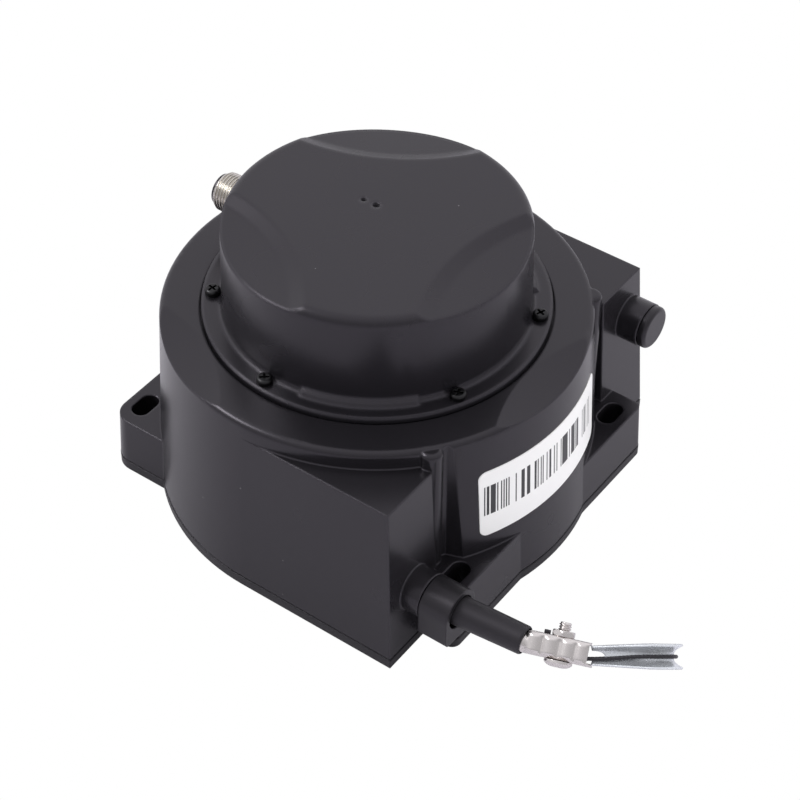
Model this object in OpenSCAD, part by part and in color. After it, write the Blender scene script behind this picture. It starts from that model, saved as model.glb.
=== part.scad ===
// Draw wire encoder: a wire reel and a spiral spring on one upright shaft inside a
// moulded drum, a rotation sensor under the cap, and a measuring wire that leaves
// the left block and ends in a clip and a thimble.
// Origin: drum axis on the mounting surface. +Z runs up the drum axis and +X is
// the way the wire is pulled. All sizes are in millimetres.

/* [Drum housing] */
// Diameter of the drum at its top edge
drum_d = 125; // [122:1:140]
// Height of the drum's top above the mounting surface
drum_h = 62.5; // [62:0.5:75]
// Outward lean of the moulded walls for each mm of height
draft = 0.055; // [0:0.005:0.06]
// Thickness of the drum wall
wall = 2.4; // [2:0.1:2.6]
// Thickness of the drum's top deck
deck_t = 4.2; // [3.8:0.1:5]
// Rounding of the drum's top edge
drum_edge_r = 1.9; // [0.8:0.1:2.4]
// Distance from the drum axis to the blocks' front faces, at the base
block_x = 53; // [51:0.5:55]
// Distance from the centre plane to the blocks' inner sides
block_y = 42.7; // [42:0.1:44]
// How far the blocks' tops lie below the drum's top
block_step = 5.4; // [3:0.1:8]
// Radius of the upright ribs beside the blocks
rib_r = 3.3; // [2.6:0.1:4]

/* [Mounting feet] */
// Distance from the drum axis to the front and rear faces of the feet
foot_x = 62.8; // [62.5:0.1:66]
// Distance from the centre plane to the side faces of the feet
foot_y = 48.8; // [47.5:0.1:52]
// Height of the feet
foot_h = 19.2; // [15:0.2:23]
// Corner rounding of the rear feet
foot_r = 5.8; // [3:0.1:6.5]
// Corner rounding of the front feet
foot_front_r = 2; // [1:0.1:4]
// Half the distance between the front and rear slots
slot_x = 57.1; // [56:0.1:57.5]
// Half the distance between the left and right slots
slot_y = 40; // [38.5:0.1:41]
// Width of the slots
slot_w = 5.8; // [5:0.1:6.2]
// End to end length of the slots
slot_len = 9.6; // [7.5:0.1:10]

/* [Base plate] */
// Thickness of the base plate
plate_t = 3; // [2.6:0.1:4]
// How far the base plate stands out beyond the housing
plate_lip = 0.1; // [0:0.1:1]
// Thickness of the flat seal on the base plate
base_seal_t = 0.5; // [0.4:0.1:0.8]
// How far the base seal is set back from the housing's edge
base_seal_inset = 0.4; // [0.2:0.1:0.8]

/* [Cap] */
// Diameter of the cap just below its top rounding
cap_d = 87.8; // [84:0.2:88.4]
// Height of the cap's top above the drum's top
cap_up = 30.9; // [28:0.1:36]
// Rounding of the cap's top edge
cap_edge_r = 2.7; // [0.8:0.1:3.2]
// Thickness of the cap's wall
cap_wall = 2.2; // [1.8:0.1:2.6]
// Diameter of the cap's flange
cap_flange_d = 100.8; // [100:0.1:101.6]
// Thickness of the cap's flange
cap_flange_t = 3; // [2.6:0.1:3.4]
// How far the flange stands above the drum's top
cap_flange_rise = 1.7; // [1:0.1:2]
// Circular gap between the flange and the drum
flange_gap = 0.6; // [0.3:0.1:0.9]
// Thickness of the flat seal under the flange
cap_seal_t = 0.4; // [0.3:0.1:0.7]
// Distance of the cap screws from the rim of the cap's flange
cap_screw_edge = 3.2; // [2.9:0.1:3.5]
// Half the angle between the two cap screws of a pair
cap_screw_half = 25.5; // [22:0.5:28]

/* [Wire] */
// Pull-out length of the wire
stroke = 3000; // [1000:100:3000]
// From the reel's outer turn of wire to the wall of the chamber
reel_gap = 7.15; // [6.2:0.05:8.2]
// Diameter of the coated wire
wire_d = 1.1; // [0.8:0.05:1.2]
// Height of the wire outlet above the mounting surface
outlet_z = 22.1; // [21.8:0.1:22.6]
// Diameter of the two round bosses on the blocks
boss_d = 13.6; // [12.6:0.1:14.6]
// Distance from the drum axis to the bosses' ends
boss_x = 57.8; // [57:0.1:60]
// Distance of the second boss from the centre plane
plug_y = 56.7; // [55:0.1:57.5]
// Height of the second boss above the mounting surface
plug_z = 42.9; // [38:0.1:45]

/* [Wire end] */
// Length of the collar on the outlet boss
collar_len = 9.5; // [8:0.1:12]
// Depth of the collar below the wire's axis
collar_drop = 9.5; // [8:0.1:10]
// Diameter of the black sleeve at the outlet
sleeve_d = 9; // [8.4:0.1:9.4]
// Diameter of the black sleeve at the clip
sleeve_end_d = 8.3; // [8:0.1:9]
// Length of the black sleeve
sleeve_len = 25.3; // [22:0.1:28]
// Sideways lean of the sleeve in degrees
sleeve_lean = 4.5; // [0:0.5:6]
// Length of the wire clip outside the sleeve
clip_len = 18.2; // [16:0.1:22]
// Sideways lean of the clip in degrees
clip_lean = 20; // [10:1:25]
// Height of the clip between its two flanges' outer faces
clip_h = 6.5; // [6:0.1:7.5]
// Depth of the clip from its web to the flanges' free edges
clip_d = 5.8; // [5:0.1:7]
// Distance of the clip screw from the sleeve's end
clip_screw_x = 9.6; // [9:0.1:11]
// Length of the thimble
thimble_len = 24.2; // [23:0.1:28]
// Width of the thimble over its two rims at the bow
thimble_w = 6.8; // [6.4:0.1:8.4]
// Height of the thimble's rims above the eye's inner face
rim_h = 3.2; // [2.6:0.1:3.4]
// Radius of the round end of the thimble's eye
eye_r = 4.4; // [4.2:0.1:5]
// Sideways lean of the thimble in degrees
thimble_lean = 35.5; // [25:0.5:45]
// Turn of the clip and thimble about their own length in degrees
end_roll = 49; // [30:1:50]

/* [Inside] */
// Diameter of the shaft
shaft_d = 8; // [8:0.1:8.4]
// Outer diameter of the ball bearings
bearing_d = 22; // [21:0.1:22]
// Width of the ball bearings
bearing_w = 7; // [6:0.1:7]
// Width of the reel over its flanges
reel_w = 15.6; // [15.2:0.1:16]
// Thickness of the spring strip
spring_t = 0.5; // [0.3:0.1:0.8]
// Turns of the spring strip
spring_turns = 8; // [6:1:12]
// From the spring case to the wall of the chamber
case_gap = 6.2; // [6:0.1:7.5]
// Height of the sensor board above the drum's top
board_up = 7.5; // [6.5:0.1:8.3]
// Diameter of the sensor board
board_d = 74; // [66:0.5:75]

/* [Connector] */
// Diameter of the connector thread
conn_d = 12; // [12:0.1:12]
// Distance from the drum axis to the connector's end
conn_x = 56.8; // [56:0.1:58]
// Height of the connector's axis above the drum's top
conn_up = 14.1; // [13.9:0.1:15.5]

/* [Hidden] */
$fn = 96;

eps = 0.01;
gap = 0.3;                 // clearance between bodies that move past each other
screw_r = 1.25;            // shank of the small screws
screw_hole_r = 1.3;
head_r = 2.3;
head_h = 1.9;

body_z = plate_t + base_seal_t;
drum_r = drum_d / 2;
base_r = drum_r + draft * (drum_h - body_z);
block_top = drum_h - block_step;
deck_z = drum_h - deck_t;
chamber_r = drum_r + 0.1 - wall;
foot_lean = draft * (foot_h - body_z);

// Upright ribs between the blocks and the drum, and the grooves beside them
rib_x = 47.5;
rib_y = block_y - rib_r + 0.2;
groove_at = [50.25, 35.8];
groove_out = [57.6, 33.1];

flange_top = drum_h + cap_flange_rise;
flange_z = flange_top - cap_flange_t;
flange_r = cap_flange_d / 2;
cap_screw_circle = flange_r - cap_screw_edge;
recess_z = flange_z - cap_seal_t;
cap_r = cap_d / 2;
cap_h = drum_h + cap_up;
conn_z = drum_h + conn_up;
cap_foot_r = cap_r + draft * 0.5 * (cap_h - flange_top);
opening_r = 42;
cap_angles = [for (c = [0, 120, 240]) for (s = [-1, 1]) c + s * cap_screw_half];
cap_screw_len = 8;
lip_r = cap_foot_r + 0.6;
lobe_r = cap_foot_r + 1.8;
// the two vent holes in the cap's top: place and radius
vents = [[-7.7, 4.1, 0.85], [-3.4, 4.25, 1.1]];

lid_t = 3;
post_len = 8;
lid_z = deck_z - post_len - lid_t;
lid_r = chamber_r - case_gap;
ear_r = 2.9;
ear_circle = lid_r + 3;
ear_t = 1.5;
ear_angles = [60, 180, 300];

// The reel carries its turns downwards from the outlet's height
wire_r = wire_d / 2;
pitch = wire_d + 0.15;
reel_r = chamber_r - reel_gap;
turns = floor(stroke / (2 * PI * reel_r));
reel_z = outlet_z - 12.4;
reel_flange_t = 1.6;
reel_web_z = 11.8;
reel_hub_r = 13;
reel_top = reel_z + reel_w;
case_z = reel_top + 0.6;
case_t = 1.5;
case_wall = 2;
spring_z = case_z + case_t + 0.5;
spring_top = lid_z - 0.8;
arbor_r = 12;

bearing_r = bearing_d / 2;
hub_r = bearing_r + 3.5;
shaft_r = shaft_d / 2;
low_bearing_z = plate_t + 1;
top_bearing_z = lid_z + 1;
ball_circle = (bearing_r + shaft_r) / 2;
ball_r = 1.95;
board_z = drum_h + board_up;
magnet_z = board_z - 9.4;
posts_circle = 31;
posts_angles = [40, 160, 280];

collar_x0 = boss_x + gap;
collar_x1 = collar_x0 + collar_len;
boss_r = boss_d / 2;
boss_bore_r = 4.9;
guide_r = 3.2;
sleeve_r = sleeve_d / 2;
sleeve_end_r = sleeve_end_d / 2;
socket_r = sleeve_r + 0.7;
socket_depth = 5;
sleeve_x0 = collar_x1 - socket_depth;

// Ends of the sleeve and of the clip
sleeve_a = [sleeve_x0, -reel_r, outlet_z];
sleeve_b = sleeve_a + sleeve_len * [cos(sleeve_lean), sin(sleeve_lean), 0];
clip_b = sleeve_b + clip_len * [cos(clip_lean), sin(clip_lean), 0];

// Scoops in the drum's top edge: inner tip, steepness in degrees and hollow radius
drum_scoop_tip = 0.828 * drum_r;
drum_scoop_fall = 11.3;
drum_scoop_r = 256;
// Scoops in the cap's top: centre, radius of the upper and lower edge, and depths
cap_scoop_x = 89.2;
cap_scoop_r = 62.5;
cap_scoop_low_r = 58.3;
cap_scoop_depth = 1.85;
cap_scoop_rim_depth = 2.9;
scoop_angles = [0, 120, 240];

// ---- shapes used by more than one piece ----

module ring(r_out, r_in, h) {
    difference() {
        cylinder(r = r_out, h = h);
        translate([0, 0, -1]) cylinder(r = r_in, h = h + 2);
    }
}

module around(circle_r, angles) {
    for (a = angles) rotate([0, 0, a]) translate([circle_r, 0, 0]) children();
}

module along_x(p) {
    translate(p) rotate([0, 90, 0]) children();
}

// Quarter of a rectangle from the origin, with its far corner rounded
module corner_plate(x, y, r) {
    square([x - r, y]);
    square([x, y - r]);
    translate([x - r, y - r]) circle(r);
}

module feet_2d(grow = 0) {
    lean = foot_lean + grow;
    for (sy = [0, 1]) mirror([0, sy]) {
        corner_plate(foot_x + lean, foot_y + lean, foot_front_r + lean);
        mirror([1, 0]) corner_plate(foot_x + lean, foot_y + lean, foot_r + lean);
    }
}

// Feet with walls that lean outwards going down
module feet() {
    translate([0, 0, body_z]) hull() for (sx = [-1, 1]) for (sy = [-1, 1]) {
        r = sx > 0 ? foot_front_r : foot_r;
        translate([sx * (foot_x - r), sy * (foot_y - r), 0])
            cylinder(r1 = r + foot_lean, r2 = r, h = foot_h - body_z, $fn = 48);
    }
}

module base_2d(grow = 0) {
    circle(base_r + grow);
    feet_2d(grow);
    translate([0, -base_r - grow]) square([block_x + grow, 2 * (base_r + grow)]);
}

module slots_2d() {
    travel = (slot_len - slot_w) / 2;
    for (sx = [-1, 1]) for (sy = [-1, 1]) translate([sx * slot_x, sy * slot_y]) {
        translate([0, travel]) circle(slot_w / 2);
        translate([0, -travel]) circle(slot_w / 2);
        square([slot_w, 2 * travel], center = true);
    }
}

// Round body with a rounded top edge and walls that lean outwards going down
module drafted_drum(r_top, z0, z1, edge_r) {
    foot = r_top + draft * (z1 - z0);
    shoulder = r_top + draft * edge_r;
    rotate_extrude() {
        polygon([[0, z0], [foot, z0], [shoulder, z1 - edge_r], [r_top - edge_r, z1], [0, z1]]);
        intersection() {
            translate([r_top - edge_r + draft * edge_r, z1 - edge_r]) circle(edge_r);
            square([r_top + 10, z1]);
        }
    }
}

// Shallow round-bottomed scoops that fall outwards from the drum's top edge
module drum_scoops() {
    for (a = scoop_angles) rotate([0, 0, a]) translate([drum_scoop_tip, 0, drum_h])
        rotate([0, 90 + drum_scoop_fall, 0]) translate([-drum_scoop_r, 0, -60])
            cylinder(r = drum_scoop_r, h = 120, $fn = 360);
}

// Scoops in the cap's top: a slope round a far centre, then a floor that falls to the rim
module cap_scoops() {
    rim = cap_scoop_x - cap_r;
    fall = (cap_scoop_rim_depth - cap_scoop_depth) / (cap_scoop_low_r - rim);
    inner = rim - 12;
    slope = cap_scoop_depth / (cap_scoop_r - cap_scoop_low_r);
    for (a = scoop_angles) rotate([0, 0, a]) translate([cap_scoop_x, 0, cap_h]) rotate_extrude(angle = 360)
        polygon([
            [inner, 4], [inner, -cap_scoop_rim_depth - 12 * fall],
            [cap_scoop_low_r, -cap_scoop_depth], [cap_scoop_r, 0], [cap_scoop_r + 4 / slope, 4]
        ]);
}

// Screw with a rounded pan head and a cross recess, standing on z = 0
module pan_screw(len, r = screw_r, head = head_r, high = head_h) {
    crown = high * 0.45;
    translate([0, 0, -len]) cylinder(r = r, h = len + eps);
    difference() {
        rotate_extrude() {
            square([head, high - crown]);
            square([head - crown, high]);
            intersection() {
                translate([head - crown, high - crown]) circle(crown);
                square([head, high]);
            }
        }
        for (a = [45, 135]) rotate([0, 0, a]) translate([0, 0, high])
            cube([head * 1.25, head * 0.3, high * 1.1], center = true);
    }
}

// ---- base ----

module base_plate() {
    color("#1c1d1f") {
        difference() {
            linear_extrude(plate_t) difference() {
                base_2d(plate_lip);
                slots_2d();
            }
            around(base_screw_circle, base_screw_angles) {
                translate([0, 0, -1]) cylinder(r = screw_hole_r, h = plate_t + 2);
                translate([0, 0, -1]) cylinder(r = head_r + 0.3, h = 1 + base_head_h + 0.1);
            }
        }
        translate([0, 0, plate_t - eps]) difference() {
            cylinder(r = hub_r, h = low_bearing_z + bearing_w - plate_t);
            translate([0, 0, low_bearing_z - plate_t]) cylinder(r = bearing_r, h = bearing_w + 1);
        }
    }
}

base_screw_circle = chamber_r - 2.2;
base_screw_angles = [for (i = [0 : 5]) 30 + 60 * i];
base_head_h = 1.8;
base_boss_r = 4.2;
base_boss_h = 5;
base_boss_up = 0.2;   // the bosses end a little above the wall's lower face

module base_seal() {
    color("#101010")
    translate([0, 0, plate_t]) linear_extrude(base_seal_t) difference() {
        base_2d(-base_seal_inset);
        circle(chamber_r + 1);
        slots_2d();
    }
}

module base_screws() {
    color("#8d9094")
    around(base_screw_circle, base_screw_angles) translate([0, 0, base_head_h]) mirror([0, 0, 1]) {
        pan_screw(plate_t + base_seal_t + base_boss_h - base_head_h - 1, head = head_r, high = base_head_h - 0.2);
    }
}

// ---- housing ----

// Block beside the drum: its side is tangent to the drum and its faces lean like the walls
module block() {
    h = block_top - body_z;
    lean = draft * h;
    side = base_r;
    polyhedron(
        points = [
            [0, block_y, body_z], [block_x, block_y, body_z], [block_x, side, body_z], [0, side, body_z],
            [0, block_y, block_top], [block_x - lean, block_y, block_top],
            [block_x - lean, side - lean, block_top], [0, side - lean, block_top]
        ],
        faces = [[0, 1, 2, 3], [7, 6, 5, 4], [4, 5, 1, 0], [5, 6, 2, 1], [6, 7, 3, 2], [7, 4, 0, 3]]
    );
}

// Groove between a rib and the drum's wall
module rib_groove() {
    translate([0, 0, foot_h - 1]) linear_extrude(drum_h) polygon([
        groove_at, groove_out, [60, block_y + 0.5], [rib_x + 1, block_y + 0.5], [rib_x + 1, rib_y]
    ]);
}

module rib() {
    edge = 1.5;
    h = drum_h - body_z - 0.4;
    translate([rib_x, rib_y, body_z]) rotate_extrude() {
        square([rib_r, h - edge]);
        square([rib_r - edge, h]);
        intersection() {
            translate([rib_r - edge, h - edge]) circle(edge);
            square([rib_r, h]);
        }
    }
}

module housing_solid() {
    difference() {
        union() {
            difference() {
                drafted_drum(drum_r, body_z, drum_h, drum_edge_r);
                for (s = [0, 1]) mirror([0, s, 0]) rib_groove();
            }
            for (s = [0, 1]) mirror([0, s, 0]) {
                block();
                rib();
            }
        }
        drum_scoops();
    }
    feet();
    along_x([0, -reel_r, outlet_z]) cylinder(r = boss_r, h = boss_x);
    along_x([0, plug_y, plug_z]) cylinder(r = boss_r, h = boss_x);
}

module housing_bores() {
    z1 = deck_z;
    // reel and spring chamber
    translate([0, 0, body_z - 1]) cylinder(r = chamber_r, h = z1 - body_z + 1);
    // opening and recess for the cap
    translate([0, 0, z1 - 1]) cylinder(r = opening_r, h = deck_t + 2);
    translate([0, 0, recess_z]) cylinder(r = flange_r + flange_gap, h = deck_t);
    around(cap_screw_circle, cap_angles) translate([0, 0, recess_z - cap_screw_len + 2.5])
        cylinder(r = screw_hole_r, h = cap_screw_len);
    // wire channel and outlet socket
    along_x([20, -reel_r, outlet_z]) cylinder(r = guide_r, h = boss_x);
    along_x([boss_x - 10, -reel_r, outlet_z]) cylinder(r = boss_bore_r, h = 20);
    // blind hole of the second boss
    along_x([boss_x - 10, plug_y, plug_z]) cylinder(r = boss_bore_r, h = 20);
    translate([0, 0, body_z - 1]) linear_extrude(foot_h - body_z + 1.2) slots_2d();
}

module housing() {
    color("#222326") {
        difference() {
            housing_solid();
            housing_bores();
        }
        // pillars for the cap screws, spring case and base plate
        difference() {
            union() {
                around(cap_screw_circle, cap_angles) translate([0, 0, recess_z - cap_screw_len + 2])
                    cylinder(r = 3, h = deck_z - recess_z + cap_screw_len - 2 + eps);
                around(ear_circle, ear_angles) translate([0, 0, deck_z - post_len])
                    cylinder(r = ear_r, h = post_len + eps);
                around(base_screw_circle, base_screw_angles) translate([0, 0, body_z + base_boss_up])
                    cylinder(r = base_boss_r, h = base_boss_h - base_boss_up);
            }
            around(cap_screw_circle, cap_angles) translate([0, 0, recess_z - cap_screw_len + 2.5])
                cylinder(r = screw_hole_r, h = 30);
            around(ear_circle, ear_angles) translate([0, 0, deck_z - post_len - 1])
                cylinder(r = screw_hole_r, h = post_len);
            around(base_screw_circle, base_screw_angles) translate([0, 0, body_z - 1])
                cylinder(r = screw_hole_r, h = base_boss_h);
        }
    }
}

module blind_plug() {
    head_t = 2.4;
    edge = 1.2;
    head = boss_r - 0.2;
    color("#1a1a1c") {
        along_x([boss_x - 8, plug_y, plug_z]) cylinder(r = boss_bore_r - 0.05, h = 8 + gap + eps);
        along_x([boss_x + gap, plug_y, plug_z]) rotate_extrude() {
            square([head, head_t - edge]);
            square([head - edge, head_t]);
            translate([head - edge, head_t - edge]) circle(edge);
        }
    }
}

module plug_ring() {
    color("#0c0c0c") along_x([boss_x, plug_y, plug_z]) ring(boss_r - 0.7, boss_bore_r, gap);
}

// ---- cap ----

module cap_seal() {
    color("#0f0f10") difference() {
        translate([0, 0, recess_z]) ring(flange_r - 0.5, opening_r + 0.5, cap_seal_t);
        around(cap_screw_circle, cap_angles) translate([0, 0, recess_z - 1])
            cylinder(r = screw_hole_r + 0.1, h = 3);
    }
}

module cap() {
    inner = cap_r - cap_wall;
    color("#202124") difference() {
        union() {
            difference() {
                rotate_extrude() {
                    polygon([
                        [0, flange_z], [cap_foot_r, flange_z], [cap_r, cap_h - cap_edge_r],
                        [cap_r - cap_edge_r, cap_h], [0, cap_h]
                    ]);
                    translate([cap_r - cap_edge_r, cap_h - cap_edge_r]) circle(cap_edge_r);
                }
                cap_scoops();
            }
            // flange, and the lip round the foot of the wall
            translate([0, 0, flange_z]) cylinder(r = flange_r, h = cap_flange_t);
            translate([0, 0, flange_top - eps]) cylinder(r1 = lip_r, r2 = cap_foot_r - 0.2, h = 1.4);
            for (c = [60, 180, 300]) rotate([0, 0, c]) lip_lobe();
        }
        translate([0, 0, flange_z - 1]) cylinder(r = inner, h = cap_h - cap_wall - 3 - flange_z + 1);
        translate([0, 0, cap_h - cap_wall - 4]) cylinder(r = 24, h = 4);
        around(cap_screw_circle, cap_angles) {
            translate([0, 0, flange_z - 1]) cylinder(r = screw_hole_r, h = cap_flange_t + 2);
            translate([0, 0, flange_top]) cylinder(r = head_r + 0.25, h = head_h + 3);
        }
        // two small vent holes in the top, the connector's hole and its flat seat
        for (v = vents) translate([v[0], v[1], cap_h - 1.2]) cylinder(r = v[2], h = 3);
        along_x([-cap_r - 5, 0, conn_z]) cylinder(r = conn_d / 2 + 0.1, h = cap_wall + 12);
        along_x([-cap_r - 5, 0, conn_z]) cylinder(r = conn_d / 2 + 1.6, h = 5 + cap_r - seat_x);
    }
}

seat_x = cap_r - 0.4;

// Wider stretch of the foot lip between two pairs of screws
module lip_lobe() {
    half = 21;
    rotate([0, 0, -half]) rotate_extrude(angle = 2 * half) polygon([
        [cap_foot_r - 1, flange_top - eps], [lobe_r, flange_top - eps],
        [lobe_r - 0.7, flange_top + 1.2], [cap_foot_r - 1, flange_top + 2.2]
    ]);
}

module cap_screws() {
    color("#151515")
    around(cap_screw_circle, cap_angles) translate([0, 0, flange_top]) pan_screw(cap_screw_len);
}

// Plain adhesive label with rounded corners, bent round the drum's wall
module type_label() {
    z0 = 25;
    z1 = 49.2;
    stick = 0.02;
    t = 0.2;
    mid = -2.3;
    half = 27.1;
    corner = 2.5;
    function r_at(z) = drum_r + draft * (drum_h - z) + stick;
    color("#f2f2f0") intersection() {
        rotate_extrude() polygon([[r_at(z0), z0], [r_at(z0) + t, z0], [r_at(z1) + t, z1], [r_at(z1), z1]]);
        rotate([0, 0, mid]) translate([30, 0, z0]) rotate([90, 0, 90]) linear_extrude(50) union() {
            translate([-half + corner, 0]) square([2 * (half - corner), z1 - z0]);
            translate([-half, corner]) square([2 * half, z1 - z0 - 2 * corner]);
            for (sx = [-1, 1]) for (y = [corner, z1 - z0 - corner])
                translate([sx * (half - corner), y]) circle(corner);
        }
    }
}

// ---- spring case and bearings ----

module bearing_lid() {
    color("#9a9da1") difference() {
        union() {
            translate([0, 0, lid_z]) cylinder(r = lid_r, h = lid_t);
            around(ear_circle, ear_angles) translate([0, 0, lid_z]) ear(lid_t);
            translate([0, 0, lid_z]) cylinder(r = hub_r, h = 1 + bearing_w);
        }
        translate([0, 0, top_bearing_z]) cylinder(r = bearing_r, h = bearing_w + 1);
        translate([0, 0, lid_z - 1]) cylinder(r = bearing_r - 2, h = 3);
        around(posts_circle, posts_angles) translate([0, 0, lid_z - 1]) cylinder(r = 1.25, h = lid_t + 2);
    }
}

// Tab with a round end that carries one case screw
module ear(h) {
    linear_extrude(h) difference() {
        union() {
            circle(ear_r);
            translate([-ear_circle + lid_r - 1, -ear_r]) square([ear_circle - lid_r + 1, 2 * ear_r]);
        }
        circle(screw_hole_r);
    }
}

module spring_case() {
    color("#3a3c40") {
        difference() {
            translate([0, 0, case_z]) cylinder(r = lid_r, h = lid_z - case_z);
            translate([0, 0, case_z + case_t]) cylinder(r = lid_r - case_wall, h = lid_z - case_z);
            translate([0, 0, case_z - 1]) cylinder(r = shaft_r + 1.5, h = case_t + 2);
        }
        around(ear_circle, ear_angles) translate([0, 0, lid_z - ear_t]) ear(ear_t);
    }
}

module case_screws() {
    color("#8d9094")
    around(ear_circle, ear_angles) translate([0, 0, lid_z - ear_t]) mirror([0, 0, 1])
        pan_screw(ear_t + lid_t + 5, high = 1.8);
}

// Flat strip wound in a spiral from the arbor out to the case wall
module spiral_spring() {
    steps = 24;
    r0 = arbor_r + gap;
    r1 = lid_r - case_wall - spring_t - gap;
    n = spring_turns * steps;
    inner = [for (i = [0 : n]) let (a = 360 * i / steps, r = r0 + (r1 - r0) * i / n)
        [r * cos(a), r * sin(a)]];
    outer = [for (i = [n : -1 : 0]) let (a = 360 * i / steps, r = r0 + (r1 - r0) * i / n + spring_t)
        [r * cos(a), r * sin(a)]];
    color("#6f7378") translate([0, 0, spring_z]) linear_extrude(spring_top - spring_z)
        polygon(concat(inner, outer));
}

module race_groove(z) {
    translate([0, 0, z + bearing_w / 2]) rotate_extrude() translate([ball_circle, 0]) circle(ball_r + 0.05);
}

module bearing_outer_rings() {
    color("#b9bcc0") for (z = [low_bearing_z, top_bearing_z]) difference() {
        translate([0, 0, z]) ring(bearing_r, ball_circle + 1.5, bearing_w);
        race_groove(z);
    }
}

module bearing_inner_rings() {
    color("#c4c7cb") for (z = [low_bearing_z, top_bearing_z]) difference() {
        translate([0, 0, z]) ring(ball_circle - 1.5, shaft_r, bearing_w);
        race_groove(z);
    }
}

module bearing_balls() {
    balls = 7;
    color("#d8dadd") for (z = [low_bearing_z, top_bearing_z])
        around(ball_circle, [for (i = [0 : balls - 1]) i * 360 / balls])
            translate([0, 0, z + bearing_w / 2]) sphere(ball_r, $fn = 24);
}

// ---- turning parts ----

module shaft() {
    color("#aeb2b6") translate([0, 0, low_bearing_z])
        cylinder(r = shaft_r, h = magnet_z + 2 - low_bearing_z);
}

module reel() {
    r_out = reel_r + 3.6;
    r_floor = reel_r - wire_r;
    rim = 3;
    low = reel_z + reel_flange_t;
    high = reel_top - reel_flange_t;
    web = 2.5;
    hub_top = reel_top - 1.4;
    color("#d9dadb") rotate_extrude() difference() {
        polygon([
            [shaft_r, low_bearing_z + bearing_w], [5.6, low_bearing_z + bearing_w], [5.6, reel_web_z],
            [r_floor - rim, reel_web_z], [r_floor - rim, reel_z], [r_out, reel_z], [r_out, low],
            [r_floor, low], [r_floor, high], [r_out, high], [r_out, reel_top], [r_floor - rim, reel_top],
            [r_floor - rim, reel_web_z + web], [reel_hub_r, reel_web_z + web], [reel_hub_r, hub_top],
            [shaft_r, hub_top]
        ]);
        for (i = [0 : turns - 1]) translate([reel_r, outlet_z - i * pitch]) circle(wire_r, $fn = 24);
    }
}

// The stored turns; the last one ends where the straight wire leaves the reel
module wire_turns() {
    color("#1b1c1e") {
        for (i = [1 : turns - 1]) translate([0, 0, outlet_z - i * pitch])
            rotate_extrude() translate([reel_r, 0]) circle(wire_r, $fn = 24);
        translate([0, 0, outlet_z]) rotate([0, 0, 100]) rotate_extrude(angle = 170)
            translate([reel_r, 0]) circle(wire_r, $fn = 24);
    }
}

module spring_arbor() {
    color("#8f9398") translate([0, 0, spring_z]) ring(arbor_r, shaft_r, spring_top - spring_z);
}

module magnet_holder() {
    color("#2f4b66") difference() {
        translate([0, 0, magnet_z]) cylinder(r = 7, h = 6);
        translate([0, 0, magnet_z - 1]) cylinder(r = shaft_r, h = 3);
        translate([0, 0, magnet_z + 3.5]) cylinder(r = 5, h = 5);
    }
}

module magnet() {
    color("#55585c") translate([0, 0, magnet_z + 3.5]) cylinder(r = 5, h = 2.5);
}

// ---- sensor ----

module board_posts() {
    color("#c9a85a") around(posts_circle, posts_angles) {
        translate([0, 0, lid_z + lid_t]) difference() {
            cylinder(r = 2.6, h = board_z - lid_z - lid_t, $fn = 6);
            translate([0, 0, board_z - lid_z - lid_t - 6]) cylinder(r = 1.25, h = 7);
        }
        translate([0, 0, lid_z]) cylinder(r = 1.25, h = lid_t + eps);
    }
}

board_t = 1.6;

module sensor_board() {
    color("#1f6b3a") difference() {
        translate([0, 0, board_z]) cylinder(r = board_d / 2, h = board_t);
        around(posts_circle, posts_angles) translate([0, 0, board_z - 1]) cylinder(r = 1.3, h = 4);
    }
}

header_h = 0.8;

module board_parts() {
    top = board_z + board_t;
    color("#26282b") {
        translate([-3, -2.5, board_z - 1.2]) cube([6, 5, 1.2]);
        translate([6, -20, top]) cube([10, 10, 1.4]);
        translate([-20, 12, top]) cube([7, 5, 1.6]);
        translate([14, 14, top]) cube([5, 8, 1.8]);
        translate([-20, -20, top]) cylinder(r = 3.2, h = 5);
        translate([-35, -5, top]) cube([3.4, 10, header_h]);
    }
}

module board_screws() {
    color("#b9bcc0") around(posts_circle, posts_angles) translate([0, 0, board_z + board_t])
        pan_screw(board_t + 4, r = 1.2, head = 2.3, high = 1.8);
}

// ---- connector ----

shell_end = -conn_x + 1.1;   // the metal shell stops short of the plastic insert
shell_in = -cap_r + cap_wall + 4.5;
insert_r = 4.7;
shank_r = conn_d / 2 - 0.2;   // plain shank behind the free thread

module connector_shell() {
    r = conn_d / 2;
    lead_in = 0.6;
    thread = -seat_x - 1 - shell_end;
    color("#c8c6bf") along_x([shell_end, 0, conn_z]) rotate_extrude() polygon([
        [insert_r, 0], [r - lead_in, 0], [r, 1], [r, thread], [shank_r, thread],
        [shank_r, shell_in - shell_end], [insert_r, shell_in - shell_end]
    ]);
}

module connector_ring() {
    color("#101010") along_x([-seat_x - 0.8, 0, conn_z]) ring(conn_d / 2 + 1.4, shank_r, 0.8);
}

module connector_nut() {
    color("#c8c6bf") along_x([-cap_r + cap_wall + 0.7, 0, conn_z]) difference() {
        cylinder(r = conn_d / 2 + 1.5, h = 2.4, $fn = 6);
        translate([0, 0, -1]) cylinder(r = shank_r, h = 5);
    }
}

pin_circle = 3.3;
socket = 8;
pin_r = 0.5;

module connector_insert() {
    color("#141414") difference() {
        along_x([-conn_x, 0, conn_z]) cylinder(r = insert_r, h = conn_x + shell_in);
        along_x([-conn_x - 1, 0, conn_z]) cylinder(r = insert_r - 0.6, h = socket + 1);
        pins_at() along_x([-conn_x - 5, 0, 0]) cylinder(r = pin_r, h = 60);
    }
}

module pins_at() {
    for (a = [0 : 90 : 270]) translate([0, pin_circle * cos(a), conn_z + pin_circle * sin(a)]) children();
}

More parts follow.
